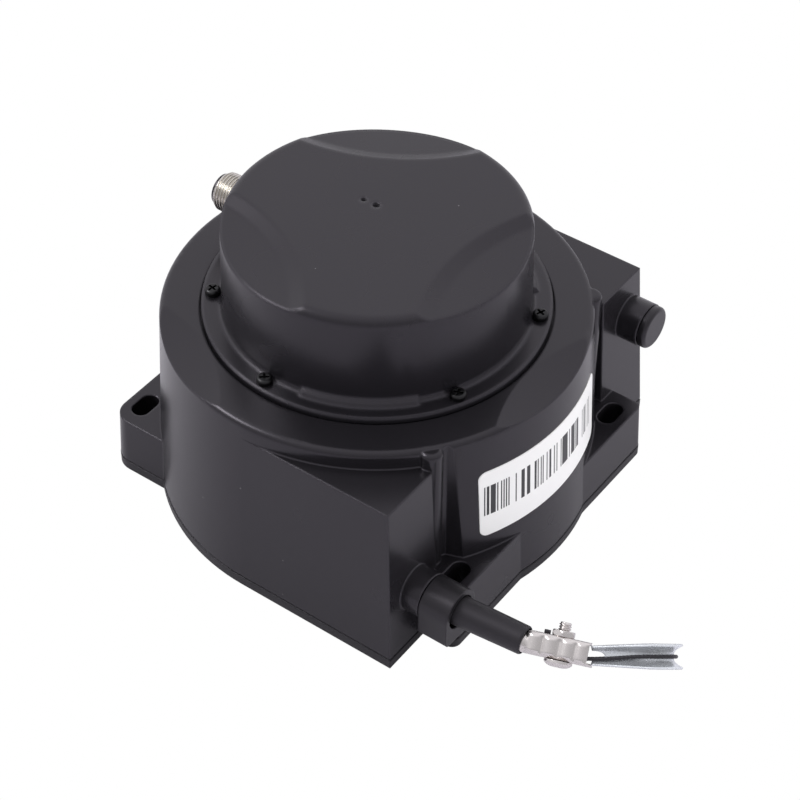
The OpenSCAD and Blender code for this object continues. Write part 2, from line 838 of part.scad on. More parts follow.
module connector_pins() {
    color("#d4af37") pins_at() along_x([-conn_x + 1.5, 0, 0])
        cylinder(r = pin_r, h = conn_x + shell_in + 0.8 - 1.5);
}

// Flat ribbon from the pins' inner ends down to the header on the board
module connector_leads() {
    x = shell_in + 0.8;
    low = board_z + board_t + header_h;
    t = 0.4;
    color("#8a2f2f") translate([0, 4, 0]) rotate([90, 0, 0]) linear_extrude(8) polygon([
        [x, conn_z + 4], [x, low], [-31.6, low], [-31.6, low + t], [x + t, low + t], [x + t, conn_z + 4]
    ]);
}

// ---- wire outlet ----

// Collar with a squared-off lower half; it steps back round the corner of the foot
module outlet_collar() {
    corner = 2;
    color("#2a2b2e") difference() {
        union() {
            along_x([collar_x0, -reel_r, outlet_z]) linear_extrude(collar_len) {
                circle(boss_r);
                translate([0, -boss_r]) square([collar_drop - corner, 2 * boss_r]);
                translate([0, -boss_r + corner]) square([collar_drop, 2 * (boss_r - corner)]);
                for (s = [-1, 1]) translate([collar_drop - corner, s * (boss_r - corner)]) circle(corner);
            }
            along_x([boss_x - 8, -reel_r, outlet_z]) cylinder(r = boss_bore_r - 0.05, h = 8 + gap + eps);
        }
        along_x([boss_x - 9, -reel_r, outlet_z]) cylinder(r = guide_r, h = 30);
        along_x([sleeve_x0 - 0.5, -reel_r, outlet_z]) cylinder(r = socket_r, h = 30);
        translate([boss_x, -foot_y - 0.7, 0]) cube([foot_x - boss_x + 0.7, 20, foot_h + 0.3]);
    }
}

module wire_guide() {
    color("#e9e6dc") along_x([boss_x - 20, -reel_r, outlet_z]) ring(guide_r, wire_r + 0.15, 9);
}

module wire_wiper() {
    color("#b8b4a8") along_x([boss_x - 7, -reel_r, outlet_z]) ring(guide_r, wire_r + 0.1, 4);
}

// ---- wire end ----

module wire_lead() {
    color("#1b1c1e") along_x([0.05, -reel_r, outlet_z]) cylinder(r = wire_r, h = sleeve_x0 - 0.07);
}

module in_sleeve() {
    translate(sleeve_a) rotate([0, 0, sleeve_lean]) children();
}

// Length runs along X, the web faces -Y and the two flanges face up and down along Z
module in_clip() {
    translate(sleeve_b) rotate([0, 0, clip_lean]) rotate([-end_roll, 0, 0]) children();
}

module in_thimble() {
    translate(clip_b) rotate([0, 0, thimble_lean]) rotate([-end_roll, 0, 0]) children();
}

clip_root = 2.5;
clip_root_r = 2.9;
clip_root_gap = 0.8;
clip_start = 1;             // the folded part starts clear of the sleeve's end

module end_sleeve() {
    edge = 0.8;
    color("#161617") in_sleeve() rotate([0, 90, 0]) difference() {
        rotate_extrude() {
            polygon([
                [0, 0], [sleeve_r - edge, 0], [sleeve_r, edge], [sleeve_end_r, sleeve_len - edge],
                [sleeve_end_r - edge, sleeve_len], [0, sleeve_len]
            ]);
            translate([sleeve_r - edge, edge]) circle(edge);
            translate([sleeve_end_r - edge, sleeve_len - edge]) circle(edge);
        }
        translate([0, 0, sleeve_len - clip_root - 1]) cylinder(r = clip_root_r + clip_root_gap, h = 10);
    }
}

clip_t = 0.8;
clip_web_len = 17.4;
clip_bulges = [2, 6.6, 11.6, 15.6];
clip_screw_y = 0.4;
clip_screw_r = 1.75;

// Section of the folded clip: a web with a round fold below and a tighter one above
module clip_2d(depth) {
    h = clip_h / 2;
    y0 = -clip_d / 2;
    r_low = 1.7;
    r_top = 0.9;
    difference() {
        union() {
            translate([y0 + r_low, -h]) square([depth - r_low, 2 * h]);
            translate([y0, -h + r_low]) square([r_low + 1, 2 * h - r_low - r_top]);
            translate([y0 + r_low, -h + r_low]) circle(r_low);
            translate([y0 + r_top, h - r_top]) circle(r_top);
            translate([y0 + r_top, h - r_top - 1]) square([2, r_top + 1]);
        }
        translate([y0 + clip_t, -h + r_low]) square([depth, 2 * h - r_low - clip_t]);
        translate([y0 + r_low, -h + clip_t]) square([depth, 2 * h - 2 * clip_t]);
        translate([y0 + r_low, -h + r_low]) circle(r_low - clip_t);
    }
}

// Folded clip: a web with pressed bulges and two flanges that the screw pulls together
module wire_clip() {
    h = clip_h / 2;
    y0 = -clip_d / 2;
    bulge_r = 1.9;
    color("#cfccc5") in_clip() difference() {
        union() {
            translate([-clip_root, 0, 0]) rotate([0, 90, 0]) cylinder(r = clip_root_r, h = clip_root + 1.5);
            translate([clip_start, 0, 0]) rotate([90, 0, 90])
                linear_extrude(clip_web_len - clip_start) clip_2d(clip_d);
            // the lower flange runs on past the web
            translate([clip_start, y0 + 1.2, -h])
                cube([clip_web_len + 1.2 - clip_start, clip_d - 1.2, clip_t]);
            difference() {
                for (x = clip_bulges) translate([x, y0 + bulge_r - 0.45, -h + 1.7])
                    cylinder(r = bulge_r, h = clip_h - 2.6);
                translate([-1, y0 + clip_t, -h]) cube([clip_len + 8, clip_d, clip_h]);
            }
        }
        translate([clip_screw_x, clip_screw_y, -clip_h]) cylinder(r = clip_screw_r + 0.1, h = 2 * clip_h);
        translate([1, y0 + clip_t + 0.9, -h + clip_t]) cube([clip_len + 8, clip_d, clip_h - 2 * clip_t]);
    }
}

module clip_screw() {
    head = 3.9;
    high = 1.9;
    edge = 1.1;
    color("#c9c7c2") in_clip() translate([clip_screw_x, clip_screw_y, -clip_h / 2]) mirror([0, 0, 1])
        difference() {
            union() {
                translate([0, 0, -clip_h - 4]) cylinder(r = clip_screw_r, h = clip_h + 4 + eps);
                rotate_extrude() {
                    square([head, high - edge]);
                    square([head - edge, high]);
                    intersection() {
                        translate([head - edge, high - edge]) circle(edge);
                        square([head, high]);
                    }
                }
            }
            translate([-5, -0.5, high - 0.9]) cube([10, 1, 2]);
        }
}

module clip_nut() {
    color("#c4c2bc") in_clip() translate([clip_screw_x, clip_screw_y, clip_h / 2]) difference() {
        cylinder(r = 3.4, h = 1.7, $fn = 6);
        translate([0, 0, -1]) cylinder(r = clip_screw_r, h = 5);
    }
}

// The thimble's channel, swept from one leg round the bow to the other leg
floor_t = 0.6;
rim_t = 0.6;
apex_x = -0.5;
round_x = thimble_len - eye_r - rim_h;
leg_half = asin(eye_r / (round_x - apex_x));
leg_run = sqrt(pow(round_x - apex_x, 2) - pow(eye_r, 2)) - 0.85;
leg_steps = 6;
bow_steps = 22;
half_turn = 90 + leg_half;

// Station i: position along the leg (0 at the clip, 1 at the bow) and angle round the bow
function leg_share(i) = min(1, min(i, 2 * leg_steps + bow_steps - i) / leg_steps);
function bow_angle(i) =
    half_turn * (1 - 2 * min(max((i - leg_steps) / bow_steps, 0), 1));

function channel(share) = let (
        w = 2.3 + (thimble_w / 2 - 2.3) * pow(share, 0.9),
        f = 1.7 + 0.6 * share,
        h = 1.9 + (rim_h - 1.9) * share
    ) [
        [0, -f], [0, f], [h, w], [h, w - rim_t], [floor_t, f - 0.35],
        [floor_t, 0.35 - f], [h, rim_t - w], [h, -w]
    ];

function station(i) = let (
        a = bow_angle(i), s = leg_share(i), back = leg_run * (1 - s),
        side = i < leg_steps ? 1 : -1
    ) [for (p = channel(s)) [
        round_x + (eye_r + p[0]) * cos(a) - back * cos(leg_half),
        (eye_r + p[0]) * sin(a) - side * back * sin(leg_half),
        p[1]
    ]];

module thimble() {
    last = 2 * leg_steps + bow_steps;
    n = 8;
    end = last * n;
    notch_r = 1.35;
    notch_x = 2.7;
    color("#c3c6ca") in_thimble() difference() {
        polyhedron(
            points = [for (i = [0 : last]) each station(i)],
            faces = concat(
                [for (i = [0 : last - 1]) for (k = [0 : n - 1]) [i * n + k, (i + 1) * n + k, (i + 1) * n + (k + 1) % n]],
                [for (i = [0 : last - 1]) for (k = [0 : n - 1]) [i * n + k, (i + 1) * n + (k + 1) % n, i * n + (k + 1) % n]],
                [[0, 1, 4, 5], [1, 2, 3, 4], [5, 6, 7, 0]],
                [[end + 5, end + 4, end + 1, end], [end + 4, end + 3, end + 2, end + 1], [end, end + 7, end + 6, end + 5]]
            )
        );
        translate([notch_x, 10, 0]) rotate([90, 0, 0]) cylinder(r = notch_r, h = 20);
        translate([-3, -10, -notch_r]) cube([notch_x + 3, 20, 2 * notch_r]);
    }
}

// The wire's loop lies in the channel; its cut end shows beside the nut
module wire_loop() {
    r = eye_r + floor_t + wire_r + 0.02;
    leg = leg_run + 2.6;
    tail = 1.7;
    color("#1b1c1e") {
        in_thimble() {
            translate([round_x, 0, 0]) rotate([0, 0, -half_turn]) rotate_extrude(angle = 2 * half_turn)
                translate([r, 0]) circle(wire_r, $fn = 24);
            for (s = [0, 1]) mirror([0, s, 0]) translate([round_x, 0, 0]) rotate([0, 0, half_turn])
                translate([r, 0, 0]) rotate([-90, 0, 0]) cylinder(r = wire_r, h = leg, $fn = 24);
        }
        in_clip() translate([clip_screw_x - 3.5 - tail, clip_screw_y - 0.6, clip_h / 2 + wire_r])
            rotate([0, 90, 0]) cylinder(r = wire_r, h = tail);
    }
}

base_plate();
base_seal();
base_screws();
housing();
blind_plug();
plug_ring();
cap_seal();
cap();
cap_screws();
type_label();
bearing_lid();
spring_case();
case_screws();
spiral_spring();
bearing_outer_rings();
board_posts();
sensor_board();
board_parts();
board_screws();
connector_shell();
connector_nut();
connector_ring();
connector_insert();
connector_pins();
connector_leads();
outlet_collar();
wire_guide();
wire_wiper();
shaft();
reel();
wire_turns();
spring_arbor();
bearing_inner_rings();
bearing_balls();
magnet_holder();
magnet();
wire_lead();
end_sleeve();
wire_clip();
clip_screw();
clip_nut();
thimble();
wire_loop();
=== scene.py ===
import bmesh
import bpy
import numpy as np
from mathutils import Matrix, Vector


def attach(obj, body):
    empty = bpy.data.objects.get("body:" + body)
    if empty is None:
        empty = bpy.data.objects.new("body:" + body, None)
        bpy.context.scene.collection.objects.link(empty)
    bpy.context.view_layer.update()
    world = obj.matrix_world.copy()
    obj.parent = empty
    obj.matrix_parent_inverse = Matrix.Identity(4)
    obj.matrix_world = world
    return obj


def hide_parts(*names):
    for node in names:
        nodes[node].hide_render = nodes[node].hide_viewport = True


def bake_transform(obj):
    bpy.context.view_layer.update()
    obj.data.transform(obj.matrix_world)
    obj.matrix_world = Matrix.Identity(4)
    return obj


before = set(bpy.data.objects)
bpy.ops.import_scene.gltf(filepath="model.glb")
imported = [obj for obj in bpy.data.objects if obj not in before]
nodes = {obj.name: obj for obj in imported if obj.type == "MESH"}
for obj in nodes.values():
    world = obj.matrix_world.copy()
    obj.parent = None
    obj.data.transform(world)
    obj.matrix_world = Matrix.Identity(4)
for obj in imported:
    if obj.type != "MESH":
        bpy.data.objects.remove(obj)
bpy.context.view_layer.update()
mm = 0.001

# Lengths in the dictionaries are millimetres unless they are multiplied by mm, and angles are degrees.

view = {
    "azimuth": 35.885,       # degrees round from the front, towards the wire's side
    "elevation": 43.786,
    "roll": 0.379,
    "distance": 684.04 * mm,
    "target": (0.0, 0.0, 41.667 * mm),
    "slide": (6.628 * mm, -13.472 * mm),  # how far the camera is moved right and up
    "lens": 104.93,
    "sensor": 36.0,
    "near": 10 * mm,
}


def makeCamera(v):
    az, el, roll = np.radians([v["azimuth"], v["elevation"], v["roll"]])
    back = np.array([np.sin(az) * np.cos(el), -np.cos(az) * np.cos(el), np.sin(el)])
    side = np.array([np.cos(az), np.sin(az), 0.0])
    up = np.cross(back, side)
    right = side * np.cos(roll) + up * np.sin(roll)
    top = up * np.cos(roll) - side * np.sin(roll)
    place = np.array(v["target"]) + right * v["slide"][0] + top * v["slide"][1] + back * v["distance"]
    data = bpy.data.cameras.new("camera")
    data.lens = v["lens"]
    data.sensor_width = v["sensor"]
    data.clip_start = v["near"]
    camera = bpy.data.objects.new("camera", data)
    turn = np.column_stack([right, top, back])
    camera.matrix_world = Matrix.Translation(Vector(place)) @ Matrix(turn.tolist()).to_4x4()
    bpy.context.scene.collection.objects.link(camera)
    bpy.context.scene.camera = camera


# places and sizes of the lamps are metres; a lamp may be left out of mirror rays or of plain light
light = {
    "sky": 0.94,             # how brightly the room lights the object from its bright side
    "dim": 0.38,             # and from the opposite side
    "fadeFrom": -0.5,        # cosine of the angle from the bright side at which the room is dimmest
    "hue": (0.99, 0.975, 1.01),
    "brightWay": (-0.5, 0.55, 0.85),
    "skyGloss": 0.12,        # how far towards white the room is where it mirrors in the object
    "aim": (0.0, 0.0, 40 * mm),
    "key": {"place": (-0.70, -0.42, 0.55), "size": 0.5, "power": 4.4, "mirrors": False},
    "glint": {"place": (-0.55, -0.35, 0.75), "size": 0.4, "power": 3.2, "lights": False},
    "rim": {"place": (0.25, 0.75, 0.55), "size": 0.6, "power": 4.0, "mirrors": False},
    "fill": {"place": (0.88, -0.30, 0.17), "size": 0.5, "power": 3.5, "mirrors": False},
}


def makeArea(name, v, aim):
    data = bpy.data.lights.new(name, "AREA")
    data.shape = "DISK"
    data.size = v["size"]
    data.energy = v["power"]
    lamp = bpy.data.objects.new(name, data)
    place = Vector(v["place"])
    lamp.location = place
    lamp.rotation_euler = (Vector(aim) - place).to_track_quat("-Z", "Y").to_euler()
    lamp.visible_glossy = v.get("mirrors", True)
    lamp.visible_diffuse = v.get("lights", True)
    bpy.context.scene.collection.objects.link(lamp)


# share of plain white: one for rays from the camera and through glass, and `gloss` for mirror rays
def whiteToViewer(tree, gloss):
    path = tree.nodes.new("ShaderNodeLightPath")
    mirror = tree.nodes.new("ShaderNodeMath")
    mirror.operation = "MULTIPLY_ADD"
    mirror.inputs[1].default_value = gloss
    total = tree.nodes.new("ShaderNodeMath")
    total.operation = "ADD"
    total.use_clamp = True
    tree.links.new(path.outputs["Is Glossy Ray"], mirror.inputs[0])
    tree.links.new(path.outputs["Is Camera Ray"], mirror.inputs[2])
    tree.links.new(mirror.outputs[0], total.inputs[0])
    tree.links.new(path.outputs["Is Transmission Ray"], total.inputs[1])
    return total.outputs[0]


def mixShaders(tree, share, first, second, out):
    mix = tree.nodes.new("ShaderNodeMixShader")
    tree.links.new(share, mix.inputs[0])
    tree.links.new(first.outputs[0], mix.inputs[1])
    tree.links.new(second.outputs[0], mix.inputs[2])
    tree.links.new(mix.outputs[0], out.inputs["Surface"])


# the room is white to the camera; to the object it is brightest where `brightWay` points and dims with the
# angle from it
def makeWorld(v):
    world = bpy.data.worlds.new("studio")
    world.use_nodes = True
    tree = world.node_tree
    tree.nodes.clear()
    out = tree.nodes.new("ShaderNodeOutputWorld")
    seen = tree.nodes.new("ShaderNodeBackground")
    seen.inputs["Color"].default_value = (1, 1, 1, 1)
    lit = tree.nodes.new("ShaderNodeBackground")
    lit.inputs["Color"].default_value = (*v["hue"], 1)
    way = tree.nodes.new("ShaderNodeVectorMath")
    way.operation = "DOT_PRODUCT"
    way.inputs[1].default_value = Vector(v["brightWay"]).normalized()
    tree.links.new(tree.nodes.new("ShaderNodeTexCoord").outputs["Generated"], way.inputs[0])
    fade = tree.nodes.new("ShaderNodeMapRange")
    fade.interpolation_type = "SMOOTHSTEP"
    for socket, value in zip(fade.inputs[1:5], (v["fadeFrom"], 1.0, v["dim"], v["sky"])):
        socket.default_value = value
    tree.links.new(way.outputs["Value"], fade.inputs[0])
    tree.links.new(fade.outputs[0], lit.inputs["Strength"])
    mixShaders(tree, whiteToViewer(tree, v["skyGloss"]), lit, seen, out)
    bpy.context.scene.world = world


floorValues = {"reach": 8.0, "below": 0.02 * mm, "tone": (0.615, 0.60, 0.64), "gloss": 0.06}


# one square sheet just under the mounting surface, white to the camera and pale to the object
def makeFloor(v):
    mesh = bpy.data.meshes.new("floor")
    r = v["reach"]
    z = -v["below"]
    mesh.from_pydata([(-r, -r, z), (r, -r, z), (r, r, z), (-r, r, z)], [], [(0, 1, 2, 3)])
    floor = bpy.data.objects.new("floor", mesh)
    bpy.context.scene.collection.objects.link(floor)
    material = bpy.data.materials.new("floorWhite")
    material.use_nodes = True
    tree = material.node_tree
    tree.nodes.clear()
    out = tree.nodes.new("ShaderNodeOutputMaterial")
    diffuse = tree.nodes.new("ShaderNodeBsdfDiffuse")
    diffuse.inputs["Color"].default_value = (*v["tone"], 1)
    white = tree.nodes.new("ShaderNodeEmission")
    mixShaders(tree, whiteToViewer(tree, v["gloss"]), diffuse, white, out)
    mesh.materials.append(material)


makeCamera(view)
makeWorld(light)
for lampName in ("key", "glint", "rim", "fill"):
    makeArea(lampName + "Light", light[lampName], light["aim"])
makeFloor(floorValues)
bpy.context.scene.view_settings.view_transform = "Standard"
print("stage: camera, light and floor are in place")


def newGroup(name, inputs, outputs):
    tree = bpy.data.node_groups.new(name, "ShaderNodeTree")
    for label, kind, value in inputs:
        socket = tree.interface.new_socket(label, in_out="INPUT", socket_type=kind)
        if value is not None:
            socket.default_value = value
    for label, kind in outputs:
        tree.interface.new_socket(label, in_out="OUTPUT", socket_type=kind)
    return tree, tree.nodes.new("NodeGroupInput"), tree.nodes.new("NodeGroupOutput")


# a socket takes a plain number as its value, and another node's output as a link
def feed(tree, socket, value):
    if isinstance(value, (int, float)):
        socket.default_value = value
    else:
        tree.links.new(value, socket)


def math(tree, operation, a, b=0.0):
    node = tree.nodes.new("ShaderNodeMath")
    node.operation = operation
    feed(tree, node.inputs[0], a)
    feed(tree, node.inputs[1], b)
    return node.outputs[0]


def noise(tree, vector, scale, detail, roughness):
    node = tree.nodes.new("ShaderNodeTexNoise")
    node.inputs["Detail"].default_value = detail
    node.inputs["Roughness"].default_value = roughness
    tree.links.new(vector, node.inputs["Vector"])
    feed(tree, node.inputs["Scale"], scale)
    return node.outputs["Fac"]


def mapRange(tree, value, low, high, toLow, toHigh):
    node = tree.nodes.new("ShaderNodeMapRange")
    for i, v in ((1, low), (2, high), (3, toLow), (4, toHigh)):
        node.inputs[i].default_value = v
    tree.links.new(value, node.inputs[0])
    return node.outputs[0]


grain = {
    "size": 2600.0,          # scales are waves per metre
    "clouds": 22.0,
    "specks": 130.0,
    "speck": (0.015, 0.03),  # where a speck's edge starts and ends, as shares of its cell
    "bare": 0.93,            # share of the cells that hold no speck
}


# moulding grain: fine bumps, a slow cloudiness of the tone, and rare pale dust specks
def makeGrainGroup(v):
    tree, inn, out = newGroup(
        "mouldedGrain",
        [("Grain Size", "NodeSocketFloat", v["size"]), ("Cloud Size", "NodeSocketFloat", v["clouds"])],
        [("Height", "NodeSocketFloat"), ("Cloud", "NodeSocketFloat"), ("Dust", "NodeSocketFloat")],
    )
    place = tree.nodes.new("ShaderNodeTexCoord").outputs["Object"]
    fine = noise(tree, place, inn.outputs["Grain Size"], detail=3.0, roughness=0.6)
    soft = noise(tree, place, inn.outputs["Cloud Size"], detail=3.0, roughness=0.55)
    specks = tree.nodes.new("ShaderNodeTexVoronoi")
    specks.inputs["Scale"].default_value = v["specks"]
    tree.links.new(place, specks.inputs["Vector"])
    near = mapRange(tree, specks.outputs["Distance"], *v["speck"], 1.0, 0.0)
    rare = tree.nodes.new("ShaderNodeSeparateColor")
    tree.links.new(specks.outputs["Color"], rare.inputs[0])
    chosen = math(tree, "GREATER_THAN", rare.outputs[0], v["bare"])
    tree.links.new(fine, out.inputs["Height"])
    tree.links.new(soft, out.inputs["Cloud"])
    tree.links.new(math(tree, "MULTIPLY", near, chosen), out.inputs["Dust"])
    return tree


edgeLean = (0.99, 0.86)      # cosines of the lean at which the painted edge highlight starts and is full


# mask for the painted edge highlight: how far the softened normal leans from the flat one, one on an edge
# and nought on a face
def makeEdgeHighlightGroup(lean):
    tree, inn, out = newGroup(
        "edgeHighlightMask", [("Soft Normal", "NodeSocketVector", None)], [("Edge", "NodeSocketFloat")]
    )
    flat = tree.nodes.new("ShaderNodeNewGeometry").outputs["Normal"]
    dot = tree.nodes.new("ShaderNodeVectorMath")
    dot.operation = "DOT_PRODUCT"
    tree.links.new(inn.outputs["Soft Normal"], dot.inputs[0])
    tree.links.new(flat, dot.inputs[1])
    tree.links.new(mapRange(tree, dot.outputs["Value"], *lean, 0.0, 1.0), out.inputs["Edge"])
    return tree


rolled = {"streaks": 900.0, "stretch": (0.12, 1.0, 1.0), "smudges": 260.0}


# brushed or rolled metal: streaks drawn out along X, and faint smudges
def makeMetalGroup(v):
    tree, inn, out = newGroup(
        "rolledMetal",
        [("Streak Size", "NodeSocketFloat", v["streaks"])],
        [("Height", "NodeSocketFloat"), ("Smudge", "NodeSocketFloat")],
    )
    place = tree.nodes.new("ShaderNodeTexCoord").outputs["Object"]
    stretch = tree.nodes.new("ShaderNodeMapping")
    stretch.inputs["Scale"].default_value = v["stretch"]
    tree.links.new(place, stretch.inputs["Vector"])
    drawn = stretch.outputs[0]
    streaks = noise(tree, drawn, inn.outputs["Streak Size"], detail=2.0, roughness=0.5)
    smudge = noise(tree, place, v["smudges"], detail=4.0, roughness=0.6)
    tree.links.new(streaks, out.inputs["Height"])
    tree.links.new(smudge, out.inputs["Smudge"])
    return tree


grainGroup = makeGrainGroup(grain)
edgeHighlightGroup = makeEdgeHighlightGroup(edgeLean)
metalGroup = makeMetalGroup(rolled)


def newMaterial(name):
    material = bpy.data.materials.new(name)
    material.use_nodes = True
    tree = material.node_tree
    tree.nodes.clear()
    out = tree.nodes.new("ShaderNodeOutputMaterial")
    shader = tree.nodes.new("ShaderNodeBsdfPrincipled")
    tree.links.new(shader.outputs[0], out.inputs["Surface"])
    return material, tree, shader


def placeGroup(tree, group, **values):
    node = tree.nodes.new("ShaderNodeGroup")
    node.node_tree = group
    for label, value in values.items():
        node.inputs[label.replace("_", " ")].default_value = value
    return node


def mixColour(tree, share, first, second):
    node = tree.nodes.new("ShaderNodeMix")
    node.data_type = "RGBA"
    for socket, value in ((node.inputs[6], first), (node.inputs[7], second)):
        if isinstance(value, tuple):
            socket.default_value = (*value, 1)
        else:
            tree.links.new(value, socket)
    tree.links.new(share, node.inputs[0])
    return node.outputs[2]


def softNormal(tree, radius):
    node = tree.nodes.new("ShaderNodeBevel")
    node.samples = 6
    node.inputs["Radius"].default_value = radius
    return node.outputs["Normal"]


def scaled(colour, factor):
    return tuple(min(1.0, c * factor) for c in colour)


def addBump(tree, shader, height, strength, distance, normal=None):
    bump = tree.nodes.new("ShaderNodeBump")
    bump.inputs["Strength"].default_value = strength
    bump.inputs["Distance"].default_value = distance
    tree.links.new(height, bump.inputs["Height"])
    if normal is not None:
        tree.links.new(normal, bump.inputs["Normal"])
    tree.links.new(bump.outputs[0], shader.inputs["Normal"])


# values that every moulded, metal or printed surface shares
surfaceRange = {
    "noise": (0.3, 0.7),     # where a noise is taken as lowest and highest
    "cloudTone": (0.88, 1.10),
    "cloudGloss": 0.03,
    "dust": (0.5, 0.5, 0.5),
    "mirrorTint": (0.95, 0.90, 1.0, 1),
    "grainDepth": 0.05 * mm,
    "smudgeTone": 0.9,
    "smudgeGloss": (0.8, 1.3),
    # how much the painted edge highlight raises a metal's colour
    "metalEdgeHighlight": 1.15,
    "streakDepth": 0.03 * mm,
}


# moulded plastic or rubber: tone clouds, a painted highlight along the edges, grain in the bump and the
# gloss
def plastic(name, colour, rough, depth=0.10, size=2600.0, round=0.7 * mm, edge=1.35, dust=0.0, coat=0.0):
    v = surfaceRange
    material, tree, shader = newMaterial(name)
    soft = softNormal(tree, round)
    surface = placeGroup(tree, grainGroup, Grain_Size=size)
    rim = placeGroup(tree, edgeHighlightGroup)
    tree.links.new(soft, rim.inputs["Soft Normal"])
    darker, lighter = (scaled(colour, factor) for factor in v["cloudTone"])
    base = mixColour(tree, surface.outputs["Cloud"], darker, lighter)
    # painted highlight: the colour along edges is raised by the factor `edge`
    base = mixColour(tree, rim.outputs["Edge"], base, scaled(colour, edge))
    if dust > 0:
        specks = math(tree, "MULTIPLY", surface.outputs["Dust"], dust)
        base = mixColour(tree, specks, base, v["dust"])
    tree.links.new(base, shader.inputs["Base Color"])
    low, high = rough - v["cloudGloss"], rough + v["cloudGloss"]
    gloss = mapRange(tree, surface.outputs["Cloud"], *v["noise"], low, high)
    tree.links.new(gloss, shader.inputs["Roughness"])
    shader.inputs["Specular Tint"].default_value = v["mirrorTint"]
    shader.inputs["Coat Weight"].default_value = coat
    addBump(tree, shader, surface.outputs["Height"], depth, v["grainDepth"], soft)
    return material


# metal: rolled streaks, smudges that dull the gloss, and a painted highlight along the edges
def metal(name, colour, rough, streak=900.0, depth=0.12, round=0.25 * mm, metallic=1.0):
    v = surfaceRange
    material, tree, shader = newMaterial(name)
    soft = softNormal(tree, round)
    surface = placeGroup(tree, metalGroup, Streak_Size=streak)
    rim = placeGroup(tree, edgeHighlightGroup)
    tree.links.new(soft, rim.inputs["Soft Normal"])
    base = mixColour(tree, surface.outputs["Smudge"], scaled(colour, v["smudgeTone"]), colour)
    # painted highlight: the colour along edges is raised by a fixed factor
    base = mixColour(tree, rim.outputs["Edge"], base, scaled(colour, v["metalEdgeHighlight"]))
    tree.links.new(base, shader.inputs["Base Color"])
    low, high = (rough * factor for factor in v["smudgeGloss"])
    gloss = mapRange(tree, surface.outputs["Smudge"], *v["noise"], low, high)
    tree.links.new(gloss, shader.inputs["Roughness"])
    shader.inputs["Metallic"].default_value = metallic
    addBump(tree, shader, surface.outputs["Height"], depth, v["streakDepth"], soft)
    return material


labelPrint = {
    "from": -26.0,          # first bar, degrees round the drum
    "bar": 0.38,            # width of one bar's cell in degrees
    "bars": 118,
    "low": 32.8 * mm,
    "high": 43.6 * mm,
    "blank": 0.52,          # share of the cells that stay white
    "ink": (0.035, 0.035, 0.038),
    "shade": 0.96,
    "grain": 1800.0,
    "gloss": (0.32, 0.42),
    "grainBump": (0.06, 0.02 * mm),
}


# plain white label: a strip of upright bars of chance widths, that encodes nothing
def labelMaterial(name, colour, v):
    material, tree, shader = newMaterial(name)
    place = tree.nodes.new("ShaderNodeTexCoord").outputs["Object"]
    parts = tree.nodes.new("ShaderNodeSeparateXYZ")
    tree.links.new(place, parts.inputs[0])
    angle = math(tree, "ARCTAN2", parts.outputs["Y"], parts.outputs["X"])
    degrees = math(tree, "MULTIPLY", angle, float(np.degrees(1.0)))
    past = math(tree, "SUBTRACT", degrees, v["from"])
    cell = math(tree, "FLOOR", math(tree, "DIVIDE", past, v["bar"]))
    pick = tree.nodes.new("ShaderNodeTexWhiteNoise")
    pick.noise_dimensions = "1D"
    tree.links.new(cell, pick.inputs["W"])
    bars = math(tree, "GREATER_THAN", pick.outputs["Value"], v["blank"])
    z = parts.outputs["Z"]
    for output, test, limit in (
        (cell, "GREATER_THAN", -0.5), (cell, "LESS_THAN", v["bars"]),
        (z, "GREATER_THAN", v["low"]), (z, "LESS_THAN", v["high"]),
    ):
        bars = math(tree, "MULTIPLY", bars, math(tree, test, output, limit))
    surface = placeGroup(tree, grainGroup, Grain_Size=v["grain"])
    paper = mixColour(tree, surface.outputs["Cloud"], scaled(colour, v["shade"]), colour)
    tree.links.new(mixColour(tree, bars, paper, v["ink"]), shader.inputs["Base Color"])
    gloss = mapRange(tree, surface.outputs["Cloud"], *surfaceRange["noise"], *v["gloss"])
    tree.links.new(gloss, shader.inputs["Roughness"])
    addBump(tree, shader, surface.outputs["Height"], *v["grainBump"])
    return material
